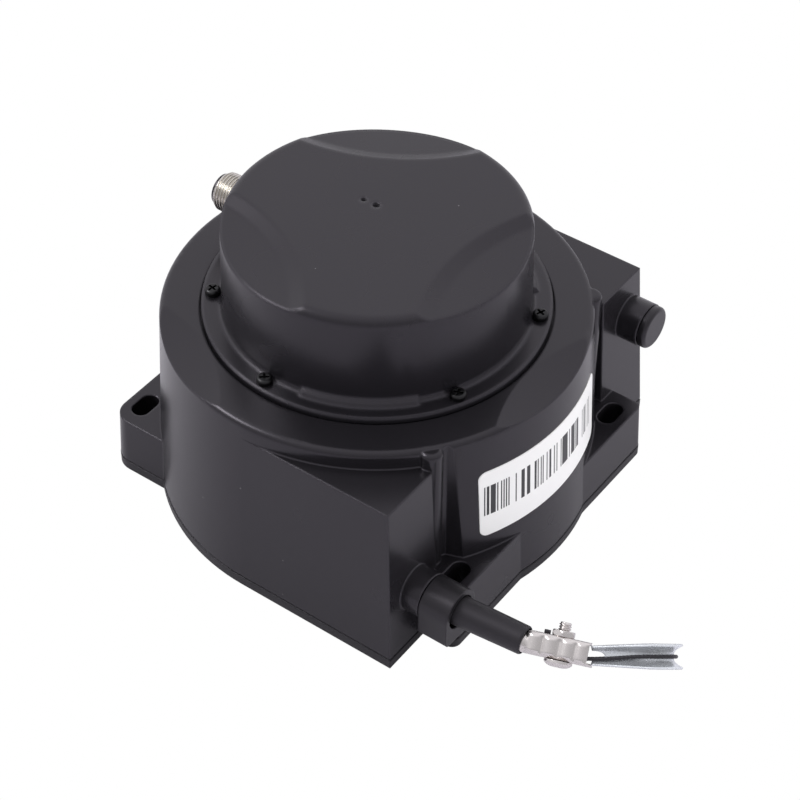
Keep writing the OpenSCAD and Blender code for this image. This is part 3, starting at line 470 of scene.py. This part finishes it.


# `edge` is how much the painted edge highlight raises a plastic's colour
finish = {
    "housing": plastic("housingBlack", (0.0116, 0.0108, 0.0128), 0.25, dust=0.3, round=0.9 * mm, edge=2.4),
    "cap": plastic("capBlack", (0.0116, 0.0108, 0.0130), 0.27, dust=0.3, round=1.9 * mm, edge=2.4),
    "plate": plastic("plateBlack", (0.009, 0.0088, 0.0095), 0.4, round=0.8 * mm),
    "plug": plastic("plugBlack", (0.010, 0.0095, 0.0108), 0.34, round=0.6 * mm, dust=0.3),
    "rubber": plastic("sealRubber", (0.012, 0.012, 0.012), 0.7, depth=0.2, round=0.2 * mm, edge=1.1),
    "sleeve": plastic("sleeveBlack", (0.012, 0.0115, 0.013), 0.45, depth=0.3, size=1500.0, round=0.3 * mm),
    "label": labelMaterial("labelWhite", (0.92, 0.92, 0.91), labelPrint),
    "blackScrew": metal("blackenedSteel", (0.045, 0.045, 0.047), 0.32, round=0.2 * mm),
    "steel": metal("bareSteel", (0.58, 0.58, 0.60), 0.25),
    "spring": metal("springSteel", (0.42, 0.43, 0.46), 0.28),
    "bearing": metal("bearingSteel", (0.64, 0.65, 0.68), 0.12, depth=0.04),
    "aluminium": metal("turnedAluminium", (0.66, 0.67, 0.69), 0.32, streak=1500.0),
    "casing": plastic("casingGrey", (0.055, 0.058, 0.064), 0.5),
    "brass": metal("brass", (0.72, 0.55, 0.27), 0.28),
    "board": plastic("boardGreen", (0.012, 0.11, 0.045), 0.3, depth=0.15, coat=0.5, round=0.1 * mm),
    "chip": plastic("chipBlack", (0.02, 0.02, 0.022), 0.45, round=0.1 * mm),
    "nickel": metal("plateNickel", (0.70, 0.67, 0.62), 0.22, round=0.12 * mm),
    "gold": metal("pinGold", (0.86, 0.64, 0.24), 0.18, round=0.1 * mm),
    "ribbon": plastic("ribbonBrown", (0.24, 0.09, 0.025), 0.35, round=0.1 * mm),
    "ceramic": plastic("guideCeramic", (0.80, 0.77, 0.70), 0.25, depth=0.05, edge=1.02, round=0.15 * mm),
    "felt": plastic("wiperFelt", (0.40, 0.37, 0.32), 0.9, depth=0.9, size=900.0, edge=1.0, round=0.1 * mm),
    "reel": plastic("reelGrey", (0.62, 0.63, 0.64), 0.38, edge=1.05),
    "wire": plastic("wireCoat", (0.016, 0.016, 0.0175), 0.34, depth=0.25, size=1400.0, round=0.1 * mm),
    "magnet": metal("magnetGrey", (0.16, 0.16, 0.17), 0.35),
    "holder": plastic("holderBlue", (0.020, 0.055, 0.11), 0.45, round=0.2 * mm),
    "clip": metal("clipNickel", (0.80, 0.765, 0.75), 0.26, streak=500.0, depth=0.25, round=0.2 * mm),
    "zinc": metal(
        "thimbleZinc", (0.88, 0.92, 0.96), 0.27, streak=380.0, depth=0.08, round=0.15 * mm, metallic=0.72
    ),
}

nodeFinish = {
    "base_plate": "plate", "base_seal": "rubber", "base_screws": "steel", "housing": "housing",
    "blind_plug": "plug", "plug_ring": "rubber", "cap_seal": "rubber", "cap": "cap",
    "cap_screws": "blackScrew", "type_label": "label", "bearing_lid": "aluminium",
    "spring_case": "casing", "case_screws": "steel", "spiral_spring": "spring",
    "bearing_outer_rings": "bearing", "board_posts": "brass", "sensor_board": "board",
    "board_parts": "chip", "board_screws": "steel", "connector_shell": "nickel",
    "connector_nut": "nickel", "connector_ring": "rubber", "connector_insert": "plug",
    "connector_pins": "gold", "connector_leads": "ribbon", "outlet_collar": "plug",
    "wire_guide": "ceramic", "wire_wiper": "felt", "shaft": "steel", "reel": "reel",
    "wire_turns": "wire", "spring_arbor": "steel", "bearing_inner_rings": "bearing",
    "bearing_balls": "bearing", "magnet_holder": "holder", "magnet": "magnet",
    "wire_lead": "wire", "end_sleeve": "sleeve", "wire_clip": "clip", "clip_screw": "clip",
    "clip_nut": "clip", "thimble": "zinc", "wire_loop": "wire",
}

for name, obj in nodes.items():
    obj.data.materials.clear()
    obj.data.materials.append(finish[nodeFinish[name]])
print("stage: every node has its finish")


# quads between neighbours of a grid of points held row by row; either way round may close on itself
def gridFaces(rows, columns, wrapRows=False, wrapColumns=False, first=0):
    i, j = np.meshgrid(
        np.arange(rows if wrapRows else rows - 1),
        np.arange(columns if wrapColumns else columns - 1),
        indexing="ij",
    )
    k, m = (i + 1) % rows, (j + 1) % columns
    quads = np.stack([i * columns + j, k * columns + j, k * columns + m, i * columns + m], axis=-1)
    return quads.reshape(-1, 4) + first


# points in millimetres and quads to an object; rows that shrink to one point are merged into a pole
def makePiece(name, points, quads, material, body, sharp=35.0):
    mesh = bpy.data.meshes.new(name)
    mesh.from_pydata((np.asarray(points).reshape(-1, 3) * mm).tolist(), [], np.asarray(quads).tolist())
    work = bmesh.new()
    work.from_mesh(mesh)
    bmesh.ops.remove_doubles(work, verts=work.verts, dist=1e-3 * mm)
    bmesh.ops.recalc_face_normals(work, faces=work.faces)
    work.to_mesh(mesh)
    work.free()
    mesh.shade_smooth()
    mesh.set_sharp_from_angle(angle=np.radians(sharp))
    mesh.materials.append(material)
    obj = bpy.data.objects.new(name, mesh)
    bpy.context.scene.collection.objects.link(obj)
    if body:
        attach(obj, body)
    return obj


def thicken(obj, wall, side=0.0):
    modifier = obj.modifiers.new("wall", "SOLIDIFY")
    modifier.thickness = wall * mm
    modifier.offset = side
    modifier.use_even_offset = True


# turn about Z by `turn` degrees after a turn about X by `roll` degrees, then a shift
def placeLocal(points, origin, turn, roll):
    a, b = np.radians([turn, roll])
    aboutZ = np.array([[np.cos(a), -np.sin(a), 0], [np.sin(a), np.cos(a), 0], [0, 0, 1]])
    aboutX = np.array([[1, 0, 0], [0, np.cos(b), -np.sin(b)], [0, np.sin(b), np.cos(b)]])
    return np.asarray(points) @ (aboutZ @ aboutX).T + np.asarray(origin)


def smoothStep(x, low, high):
    t = np.clip((x - low) / (high - low), 0.0, 1.0)
    return t * t * (3 - 2 * t)


# two unit vectors across a path at each of its points: one is level and the other is square to it
def pathFrames(path):
    tangent = np.gradient(path, axis=0)
    tangent /= np.linalg.norm(tangent, axis=1, keepdims=True)
    side = np.cross((0.0, 0.0, 1.0), tangent)
    side /= np.linalg.norm(side, axis=1, keepdims=True)
    return side, np.cross(tangent, side)


# stranded rope along a path: the radius is cut by `dip` times one less the size of the cosine of half the
# strand count times (angle - twist), and the twist grows by one turn for each lay length along the path;
# both ends close in a flat face
def ropePoints(path, radius, strands=6, lay=6.5, dip=0.22, around=36):
    side, up = pathFrames(path)
    steps = np.linalg.norm(np.diff(path, axis=0), axis=1)
    along = np.concatenate([[0.0], np.cumsum(steps)])
    angle = np.linspace(0, 2 * np.pi, around, endpoint=False)
    twist = 2 * np.pi * along / lay
    wave = np.abs(np.cos(strands / 2 * (angle[None, :] - twist[:, None])))
    r = radius * (1 - dip * (1 - wave))
    ring = (
        path[:, None, :]
        + (r * np.cos(angle))[..., None] * side[:, None, :]
        + (r * np.sin(angle))[..., None] * up[:, None, :]
    )
    first = np.repeat(path[:1, None, :], around, axis=1)
    last = np.repeat(path[-1:, None, :], around, axis=1)
    return np.concatenate([first, ring, last])


def straightPath(start, length, points):
    return np.asarray(start) + np.linspace(0, length, points)[:, None] * np.array([1.0, 0, 0])


def makeRope(name, path, radius, material, body, **shape):
    points = ropePoints(path, radius, **shape)
    return makePiece(name, points, gridFaces(*points.shape[:2], wrapColumns=True), material, body, sharp=50)


# a profile turned round an axis through `centre`: the radius has a row for each ring of points and a column
# for each angle, and the distance along the axis has as many rows and as many columns or one
def turnedPoints(along, radius, centre, axis, across):
    angle = np.linspace(0, 2 * np.pi, radius.shape[1], endpoint=False)
    axis, across = np.asarray(axis, float), np.asarray(across, float)
    other = np.cross(axis, across)
    along = along.reshape(len(radius), -1)
    return (
        np.asarray(centre, float)
        + along[..., None] * axis
        + (radius * np.cos(angle))[..., None] * across
        + (radius * np.sin(angle))[..., None] * other
    )


# height of a screw thread: a vee that rises and falls once a pitch and advances one pitch a turn; it is
# drawn `gain` times too tall and `sink` too low, so that its crest and root are cut flat
def threadWave(along, angle, pitch, gain=1.45, sink=0.2):
    phase = (along[:, None] / pitch - angle[None, :] / (2 * np.pi)) % 1.0
    vee = 1 - np.abs(2 * phase - 1)
    return np.clip(vee * gain - sink, 0.0, 1.0)


connector = {
    "tip": -55.7,           # outer end of the metal shell
    "inner": -37.2,         # its inner end, inside the cap
    "height": 76.6,
    "crest": 5.98,
    "root": 5.42,
    "bore": 4.75,
    "pitch": 1.0,
    "threaded": 11.2,       # length of thread outside the cap, then a plain shank
    "shank": 5.78,
    "chamfer": (0.05, 0.65),  # the first thread's tip starts this far under the root and grows at this rate
    "around": 120,
    "perMillimetre": 14,    # rings of points
}


def makeConnector(v):
    length = v["inner"] - v["tip"]
    outer = np.linspace(0, length, int(length * v["perMillimetre"]))
    angle = np.linspace(0, 2 * np.pi, v["around"], endpoint=False)
    wave = threadWave(outer, angle, v["pitch"])
    r = v["root"] + (v["crest"] - v["root"]) * wave
    under, rate = v["chamfer"]
    r = np.minimum(r, (v["root"] - under + rate * outer)[:, None])
    r = np.where(outer[:, None] > v["threaded"], v["shank"], r)
    bore = np.full((1, v["around"]), v["bore"])
    along = np.concatenate([[0.0], outer, [length]])
    radius = np.concatenate([bore, r, bore])
    points = turnedPoints(along, radius, (v["tip"], 0, v["height"]), (1, 0, 0), (0, 1, 0))
    quads = gridFaces(*points.shape[:2], wrapRows=True, wrapColumns=True)
    piece = makePiece("connectorThread", points, quads, finish["nickel"], "housing_body", sharp=24)
    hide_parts("connector_shell")


makeConnector(connector)
print("stage: threaded connector")

# the end of the wire: rubber sleeve, folded clip and thimble, each turned a little further about Z
wireEnd = {
    "body": "wire_end_body",
    "sleeveFrom": (62.6, -53.05, 22.1),
    "sleeveLength": 25.3,
    "sleeveTurn": 4.5,      # degrees that the wire end leans out from the X axis
    "clipLength": 18.2,
    "clipTurn": 20.0,
    "thimbleTurn": 35.5,
    "roll": -49.0,          # degrees that the loop's plane is rolled about its length
    "wire": 0.55,           # rope radius
}


def headingOf(turn):
    a = np.radians(turn)
    return np.array([np.cos(a), np.sin(a), 0.0])


sleeveEnd = np.array(wireEnd["sleeveFrom"]) + wireEnd["sleeveLength"] * headingOf(wireEnd["sleeveTurn"])
clipEnd = sleeveEnd + wireEnd["clipLength"] * headingOf(wireEnd["clipTurn"])


def inClip(points):
    return placeLocal(points, sleeveEnd, wireEnd["clipTurn"], wireEnd["roll"])


def inThimble(points):
    return placeLocal(points, clipEnd, wireEnd["thimbleTurn"], wireEnd["roll"])


clip = {
    "length": 17.4,
    "flange": 18.6,         # the lower flange runs on past the web
    "half": 3.25,           # half its height
    "depth": 5.8,
    "lowFold": 1.7,
    "topFold": 0.95,
    "wall": 0.8,
    "rootFrom": -1.7,
    "rootRadius": 3.25,
    "rootSeam": 40.0,       # degrees that the root's tube is open at its back
    "rootFades": (-0.5, 1.5),   # where the tube starts to flatten, and where the folded section is full
    # middle, half length and height of each pressed bulge
    "bulges": ((2.4, 2.3, 0.95), (6.9, 2.3, 0.95), (11.6, 2.2, 0.85), (15.5, 1.9, 0.7)),
    "bulgeSlope": 1.3,
    "sunk": 0.35,           # how far the web is pressed in between the bulges
    "webOut": (0.4, 2.6),   # the web begins and is full at these distances from the middle
    "webMargin": (1.5, 0.2),    # and it ends over this stretch before the folds
    "runFrom": 8.0,         # the lower flange draws ahead of the web from here
    "runMargin": (1.2, 0.1),
    "foldSteps": (14, 10),  # points round the low fold and round the top one
    "columns": 110,
    "rows": 190,
}


# section of the clip: out along the lower flange, round the low fold, up the web, round the top fold and
# back along the upper flange; gives y and z of evenly spaced points on the outer face
def clipSection(v, count):
    h, d = v["half"], v["depth"] / 2
    low, top = v["lowFold"], v["topFold"]
    a = np.radians(np.linspace(-90, -180, v["foldSteps"][0]))
    b = np.radians(np.linspace(180, 90, v["foldSteps"][1]))
    y = np.concatenate([[d], -d + low + low * np.cos(a), -d + top + top * np.cos(b), [d]])
    z = np.concatenate([[-h], -h + low + low * np.sin(a), h - top + top * np.sin(b), [h]])
    run = np.concatenate([[0.0], np.cumsum(np.hypot(np.diff(y), np.diff(z)))])
    at = np.linspace(0, run[-1], count)
    return np.interp(at, run, y), np.interp(at, run, z)


# nought in the middle of the clip's height and one at a fold; `margin` says how far from the fold it starts
# to grow and is full
def nearFold(v, height, margin):
    return smoothStep(height, v["half"] - margin[0], v["half"] - margin[1])


def makeClip(v):
    sy, sz = clipSection(v, v["columns"])
    share = np.linspace(0, 1, v["columns"])
    x = np.linspace(v["rootFrom"], v["length"], v["rows"])
    # the round root is an open tube whose seam is at the back
    angle = np.radians(-v["rootSeam"] / 2 - (360 - v["rootSeam"]) * share)
    ry, rz = v["rootRadius"] * np.cos(angle), v["rootRadius"] * np.sin(angle)
    t = smoothStep(x, *v["rootFades"])[:, None]
    y = ry * (1 - t) + sy * t
    z = rz * (1 - t) + sz * t
    # pressed bulges push the web outwards between its folds: each is one less the square of the distance
    # from its middle, raised to the slope's power
    web = smoothStep(-y, *v["webOut"]) * (1 - nearFold(v, np.abs(z), v["webMargin"]))
    push = np.zeros_like(x)
    for centre, half, height in v["bulges"]:
        push = push + height * np.clip(1 - ((x - centre) / half) ** 2, 0, None) ** v["bulgeSlope"]
    y = y - web * (push[:, None] - v["sunk"])
    # the lower flange runs on past the web
    ahead = (v["flange"] - v["length"]) * smoothStep(x, v["runFrom"], v["length"])[:, None]
    reach = x[:, None] + ahead * nearFold(v, -z, v["runMargin"])
    points = inClip(np.stack([reach, y, z], axis=-1))
    quads = gridFaces(*points.shape[:2])
    piece = makePiece("wireClip", points, quads, finish["clip"], wireEnd["body"], sharp=60)
    thicken(piece, v["wall"], -1.0)
    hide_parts("wire_clip")


clipBolt = {
    "at": (9.6, 0.4, -3.25),
    "head": 3.9,
    "dome": 1.9,
    "domeFall": 0.62,       # share of the dome's height that is lost at the head's rim
    "rings": 34,
    "firstRing": 0.06,
    "slot": 0.9,
    "slotWidth": 1.0,
    "slotEdge": (-0.12, 0.06),  # the slot's wall starts and ends this far from its nominal side
    "shank": 1.75,
    "root": 1.42,
    "pitch": 0.7,
    "length": 10.5,
    "point": (0.1, 0.9),    # the end starts this far under the root and grows at this rate
    "perMillimetre": 22,
    "around": 72,
}


def makeBolt(v):
    around = v["around"]
    angle = np.linspace(0, 2 * np.pi, around, endpoint=False)
    # domed head: its height falls with the fourth power of the distance from the middle, and it has a slot
    rho = np.concatenate([[0.0], np.linspace(v["firstRing"], 1.0, v["rings"])]) * v["head"]
    height = v["dome"] * (1 - v["domeFall"] * (rho / v["head"]) ** 4)
    height = np.repeat(height[:, None], around, axis=1)
    across = np.abs(rho[:, None] * np.sin(angle)[None, :])
    cut = 1 - smoothStep(across - v["slotWidth"] / 2, *v["slotEdge"])
    top = height - cut * np.clip(height - (v["dome"] - v["slot"]), 0, None)
    shank = np.linspace(0, v["length"], int(v["length"] * v["perMillimetre"]))
    wave = threadWave(shank, angle, v["pitch"])
    r = v["root"] + (v["shank"] - v["root"]) * wave
    under, rate = v["point"]
    r = np.minimum(r, (v["root"] - under + rate * (v["length"] - shank))[:, None])
    # down over the head, under its flat face to the shank, along the thread and in to the end's middle
    row = np.ones((1, around))
    along = np.concatenate([-top, 0 * row, shank[:, None] * row, v["length"] * row])
    radius = np.concatenate([rho[:, None] * row, v["head"] * row, r, 0 * row])
    points = inClip(turnedPoints(along, radius, v["at"], (0, 0, 1), (1, 0, 0)))
    quads = gridFaces(*points.shape[:2], wrapColumns=True)
    piece = makePiece("clipBolt", points, quads, finish["clip"], wireEnd["body"], sharp=38)
    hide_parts("clip_screw")


clipNut = {
    "corner": 3.4,          # radius of the hexagon's corners
    "height": 1.7,
    "rings": (0, 0.08, 0.18, 0.35, 0.7, 1.0, 1.25, 1.42, 1.55, 1.64, 1.7),  # heights of its rings of points
    "coneIn": 0.12,         # how far inside the flats the cone starts at both faces
    "coneRate": 0.75,
    "boreIn": 0.1,          # its thread bites this far into the screw's
    "around": 120,
}


# six-sided nut: the radius is the hexagon's, cut at both ends by a cone that grows with the square root of
# the distance from the face
def makeNut(v, bolt):
    angle = np.linspace(0, 2 * np.pi, v["around"], endpoint=False)
    flat = v["corner"] * np.cos(np.pi / 6)
    hexagon = flat / np.cos((angle + np.pi / 6) % (np.pi / 3) - np.pi / 6)
    rise = np.array(v["rings"])
    edge = np.minimum(rise, v["height"] - rise)
    cone = flat - v["coneIn"] + np.sqrt(np.clip(edge, 0, None)) * v["coneRate"]
    outer = np.minimum(hexagon[None, :], cone[:, None])
    inner = np.full((1, v["around"]), bolt["shank"] - v["boreIn"])
    along = np.concatenate([[0.0], rise, [v["height"]]])
    radius = np.concatenate([inner, outer, inner])
    x, y, z = bolt["at"]
    points = inClip(turnedPoints(along, radius, (x, y, -z), (0, 0, 1), (1, 0, 0)))
    quads = gridFaces(*points.shape[:2], wrapRows=True, wrapColumns=True)
    piece = makePiece("clipNut", points, quads, finish["clip"], wireEnd["body"], sharp=30)
    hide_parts("clip_nut")


thimble = {
    "length": 24.7,
    "eye": 4.4,             # radius of the eye, inside the channel's floor
    "rim": 3.2,             # how far the rims stand out round the bow
    "rimAtClip": 1.9,
    "width": 6.8,
    "widthAtClip": 5.4,
    "wall": 0.55,
    "apex": -0.5,           # where the two legs would meet
    "legStart": 0.85,       # how far past that point the channel starts
    "legPoints": 46,
    "bowPoints": 70,
    "acrossPoints": 30,
    "notchEnd": 4.3,        # the floor starts this far past the apex
    "notchHalf": 1.7,
    "floorShare": 0.72,     # share of the half width that the channel gains evenly, before its rims steepen
}


# station points of the channel: a straight leg, the bow and the other leg; gives the bow's centre, half the
# angle between the legs, a leg's length, and for each station the angle of the outward direction, the share
# of the way to the bow and the leg's side
def thimbleStations(v):
    roundX = v["length"] - v["eye"] - v["rim"]
    legHalf = np.arcsin(v["eye"] / (roundX - v["apex"]))
    legRun = np.sqrt((roundX - v["apex"]) ** 2 - v["eye"] ** 2) - v["legStart"]
    half = np.pi / 2 + legHalf
    leg, bow = np.linspace(0, 1, v["legPoints"]), np.linspace(1, -1, v["bowPoints"] + 2)[1:-1]
    angle = np.concatenate([np.full_like(leg, half), half * bow, np.full_like(leg, -half)])
    share = np.concatenate([leg, np.ones_like(bow), leg[::-1]])
    side = np.where(np.arange(len(angle)) < len(angle) / 2, 1.0, -1.0)
    return roundX, legHalf, legRun, angle, share, side


def makeThimble(v):
    roundX, legHalf, legRun, angle, share, side = thimbleStations(v)
    back = legRun * (1 - share)
    wall = v["wall"] / 2
    halfWidth = (v["widthAtClip"] + (v["width"] - v["widthAtClip"]) * share ** 0.9) / 2 - wall
    rise = v["rimAtClip"] + (v["rim"] - v["rimAtClip"]) * share - wall
    # the floor's notch: half of an oval hole, open towards the clip
    past = legRun - back + v["legStart"]
    notch = v["notchHalf"] * np.sqrt(np.clip(1 - (past / v["notchEnd"]) ** 3, 0, 1))
    first = notch / halfWidth
    k = np.linspace(0, 1, v["acrossPoints"])
    floor = v["floorShare"]
    quads, points = [], []
    # t runs from the notch or the floor's middle to a rim: the width gains evenly and then with the cube of
    # t, and the wall stands out with its fourth power
    for hand in (1.0, -1.0):
        t = first[:, None] + (1 - first[:, None]) * k[None, :]
        z = hand * halfWidth[:, None] * (floor * t + (1 - floor) * t ** 3)
        out = wall + (rise[:, None] - wall) * t ** 4
        r = v["eye"] + out
        x = roundX + r * np.cos(angle)[:, None] - (back * np.cos(legHalf))[:, None]
        y = r * np.sin(angle)[:, None] - (side * back * np.sin(legHalf))[:, None]
        grid = np.stack([x, y, z], axis=-1)
        quads.append(gridFaces(*grid.shape[:2], first=sum(len(p) for p in points)))
        points.append(grid.reshape(-1, 3))
    points, quads = inThimble(np.concatenate(points)), np.concatenate(quads)
    piece = makePiece("thimbleChannel", points, quads, finish["zinc"], wireEnd["body"], sharp=60)
    thicken(piece, v["wall"])
    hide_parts("thimble")


loopRope = {
    "clear": 0.05,          # gap between the rope and the channel's floor
    "intoClip": (2.6, 0.1),     # the legs run on into the clip
    "clipPoints": 14,
    "sag": 0.85,            # how far the rope lies towards the lower rim near the clip
    "sagFrom": 1.0,
}


def makeLoop(v, rope, wire):
    roundX, legHalf, legRun, angle, share, side = thimbleStations(v)
    r = v["eye"] + v["wall"] + wire + rope["clear"]
    extra = np.linspace(*rope["intoClip"], rope["clipPoints"])
    one = np.ones_like(extra)
    back = np.concatenate([legRun + extra, legRun * (1 - share), legRun + extra[::-1]])
    turn = np.concatenate([angle[0] * one, angle, angle[-1] * one])
    hand = np.concatenate([one, side, -one])
    x = roundX + r * np.cos(turn) - back * np.cos(legHalf)
    y = r * np.sin(turn) - hand * back * np.sin(legHalf)
    z = -rope["sag"] * smoothStep(back, rope["sagFrom"], legRun)
    path = inThimble(np.stack([x, y, z], axis=-1))
    return makeRope("wireLoop", path, wire, finish["wire"], wireEnd["body"])


# the rope's cut end shows above the clip
wireTail = {"from": (4.4, -0.2, 3.8), "length": 1.7, "points": 24}

makeClip(clip)
makeBolt(clipBolt)
makeNut(clipNut, clipBolt)
makeThimble(thimble)
loop = makeLoop(thimble, loopRope, wireEnd["wire"])
tail = straightPath(wireTail["from"], wireTail["length"], wireTail["points"])
makeRope("wireTail", inClip(tail), wireEnd["wire"], finish["wire"], wireEnd["body"])
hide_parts("wire_loop")
print("stage: clip, screw, nut, thimble and rope")

wireLead = {"from": (0.06, -53.05, 22.1), "length": 62.52, "points": 260, "around": 24}

lead = straightPath(wireLead["from"], wireLead["length"], wireLead["points"])
leadRope = makeRope("wireLead", lead, wireEnd["wire"], finish["wire"], None, around=wireLead["around"])
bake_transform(leadRope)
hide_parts("wire_lead")
print("stage: wire")
